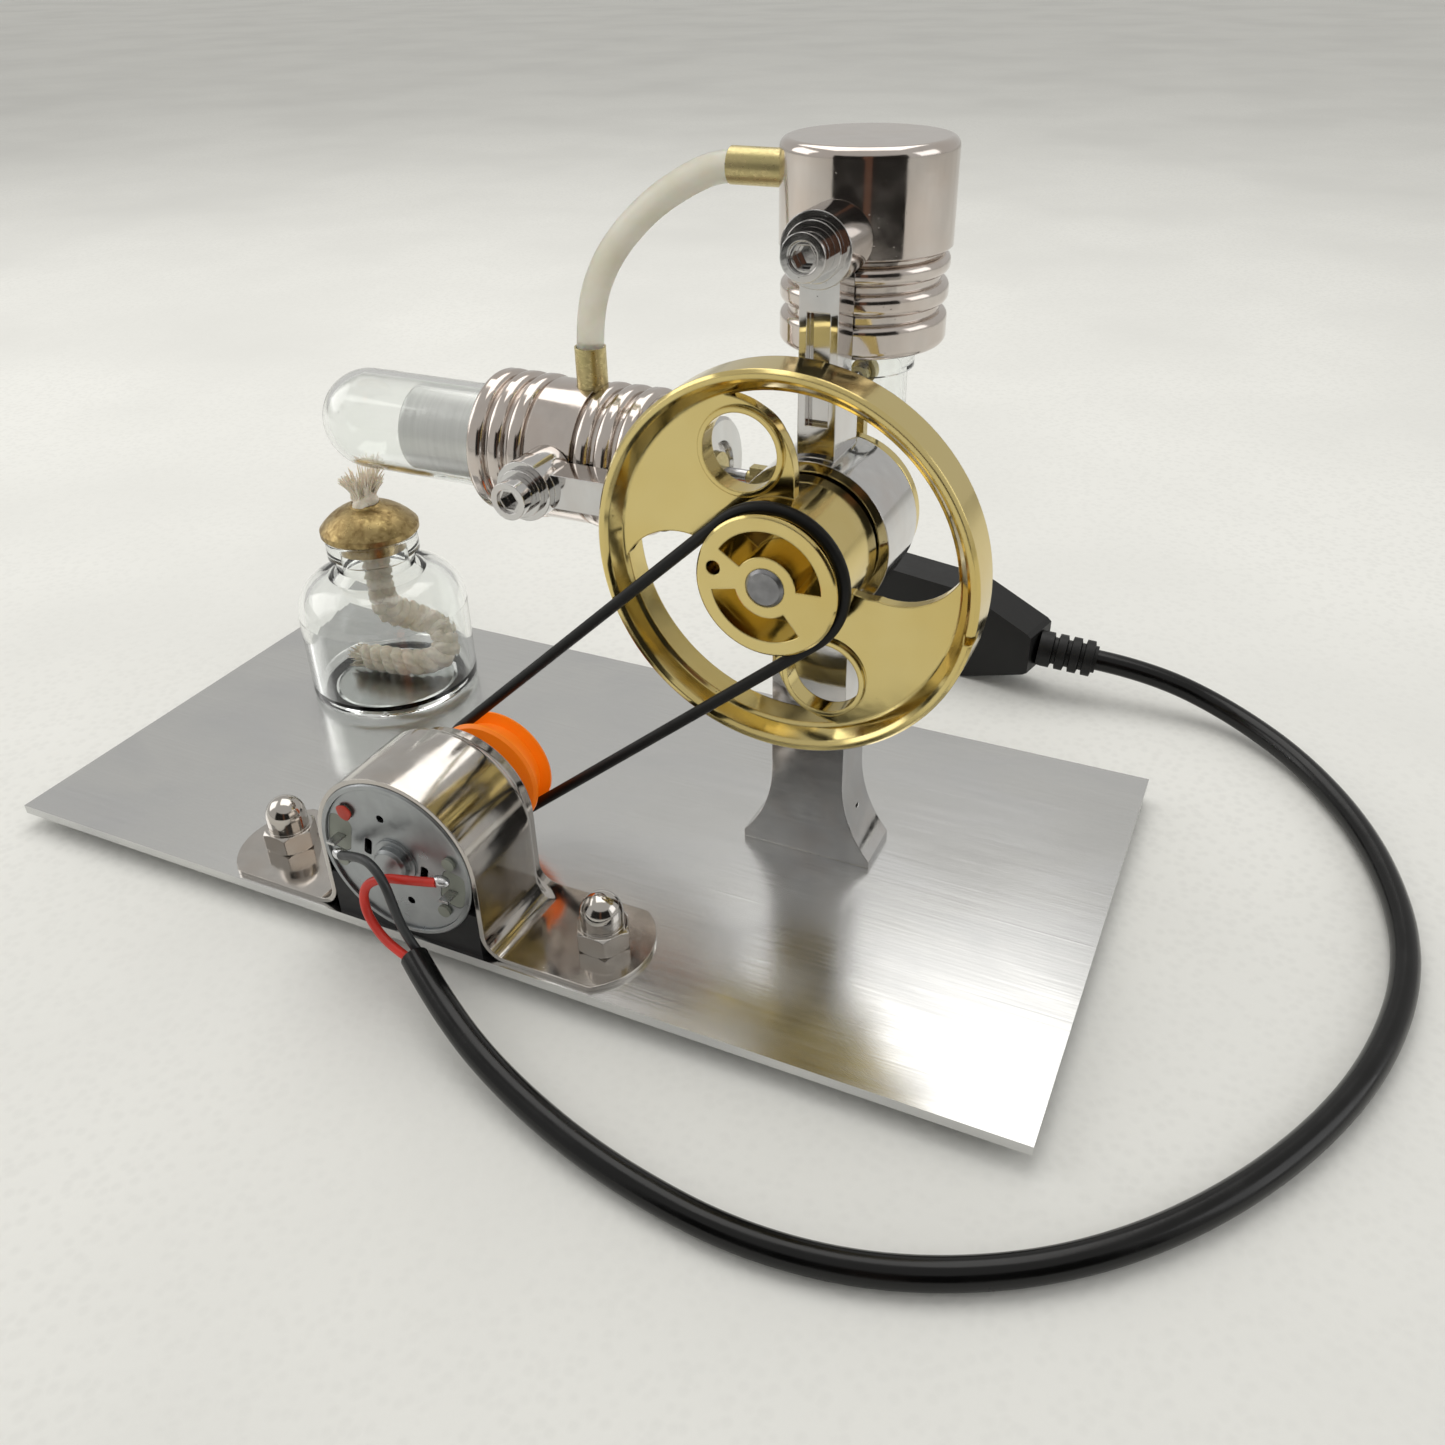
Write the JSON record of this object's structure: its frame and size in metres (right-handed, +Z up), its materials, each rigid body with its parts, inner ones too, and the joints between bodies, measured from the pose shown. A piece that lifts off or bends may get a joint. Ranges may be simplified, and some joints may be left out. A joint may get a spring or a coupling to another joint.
{
  "type": "model hot air engine",
  "caption": "Bench-top model hot-air engine on a plate: spirit burner, glass hot end, twin cylinders, spoked flywheel and belt-driven generator with an output lead.",
  "frame": {"origin": "on the surface the feet stand on, under the middle of the base plate", "axes": "+X right along the plate's long front edge, +Y away from the front, +Z up; the crankshaft turns about an axis along Y"},
  "size_m": [0.2057, 0.1452, 0.1015],
  "materials": {
    "plate_aluminium": "brushed",
    "black_rubber": "matt",
    "polished_steel": "polished",
    "bearing_steel": "polished",
    "gold_plated": "polished",
    "brass": "satin",
    "clear_glass": "clear",
    "dark_piston": "satin",
    "turned_aluminium": "satin",
    "silicone_hose": "translucent",
    "black_oxide_steel": "polished",
    "belt_rubber": "satin",
    "motor_steel": "satin zinc plate",
    "stainless": "polished",
    "orange_plastic": "glossy",
    "red_plastic": "satin",
    "magnet": "matt",
    "red_pvc": "satin",
    "black_pvc": "satin",
    "tinned_metal": "satin",
    "cotton": "braided"
  },
  "bodies": {
    "frame": {"base_plate": "plate_aluminium", "rubber_feet": "black_rubber", "stand_casting": "polished_steel", "stand_screws": "black_oxide_steel", "cylinder_screws": "polished_steel", "screw_washers": "polished_steel", "bearing_outer_rings": "bearing_steel", "bearing_balls": "bearing_steel", "power_cylinder": "polished_steel", "cylinder_liner": "clear_glass", "hot_cylinder": "polished_steel", "tube_seal": "black_rubber", "hot_tube": "clear_glass", "end_cover": "polished_steel", "guide_bush": "brass", "upper_nipple": "brass", "lower_nipple": "brass", "air_hose": "silicone_hose", "drive_belt": "belt_rubber", "motor_can": "motor_steel", "motor_bush": "brass", "motor_end_cap": "motor_steel", "terminal_insulators": "red_plastic", "motor_terminals": "tinned_metal", "motor_magnets": "magnet", "motor_bracket": "stainless", "motor_pad": "black_rubber", "cap_nuts": "polished_steel", "bracket_screws": "polished_steel", "black_lead": "black_pvc", "red_lead": "red_pvc", "output_cable": "black_pvc", "strain_relief": "black_pvc", "socket_housing": "black_pvc", "socket_shell": "tinned_metal", "socket_tongue": "black_pvc"},
    "crank": {"crankshaft": "bearing_steel", "crank_disc": "gold_plated", "crank_pin": "bearing_steel", "crank_pin_clip": "bearing_steel", "shaft_washer": "brass", "flywheel": "gold_plated", "flywheel_set_screw": "black_oxide_steel", "bearing_inner_rings": "bearing_steel"},
    "generator_rotor": {"motor_shaft": "bearing_steel", "motor_armature": "motor_steel", "motor_pulley": "orange_plastic"},
    "power_rod": {"power_conrod": "brass"},
    "displacer_link": {"displacer_conrod": "brass"},
    "piston": {"power_piston": "dark_piston", "piston_lug": "brass", "gudgeon_pin": "bearing_steel"},
    "displacer_set": {"displacer": "turned_aluminium", "displacer_plug": "turned_aluminium", "displacer_rod": "bearing_steel", "displacer_lug": "brass", "displacer_pin": "bearing_steel"},
    "burner": {"burner_bottle": "clear_glass", "burner_cap": "brass", "burner_wick": "cotton"}
  },
  "joints": [
    {"name": "crank_spin", "type": "hinge", "parent": "frame", "child": "crank", "pos_m": [0.0382, 0, 0.0556], "axis": [0, 1, 0], "continuous": true},
    {"name": "generator_spin", "type": "hinge", "parent": "frame", "child": "generator_rotor", "pos_m": [-0.0061, 0, 0.0167], "axis": [0, 1, 0], "continuous": true},
    {"name": "power_rod_pivot", "type": "hinge", "parent": "crank", "child": "power_rod", "pos_m": [0.0382, 0, 0.0596], "axis": [0, 1, 0], "continuous": true},
    {"name": "displacer_rod_pivot", "type": "hinge", "parent": "crank", "child": "displacer_link", "pos_m": [0.0382, 0, 0.0596], "axis": [0, 1, 0], "continuous": true},
    {"name": "piston_slide", "type": "slide", "parent": "frame", "child": "piston", "axis": [0, 0, 1], "range_m": [-0.008, 0]},
    {"name": "displacer_slide", "type": "slide", "parent": "frame", "child": "displacer_set", "axis": [1, 0, 0], "range_m": [-0.004, 0.004]},
    {"name": "burner_slide", "type": "slide", "parent": "frame", "child": "burner", "axis": [0, -1, 0], "range_m": [0, 0.02]}
  ],
  "couplings": [
    {"joint": "generator_spin", "follows": "crank_spin", "ratio": 1.1875},
    {"joint": "power_rod_pivot", "follows": "crank_spin", "ratio": -1},
    {"joint": "displacer_rod_pivot", "follows": "crank_spin", "ratio": -1}
  ]
}
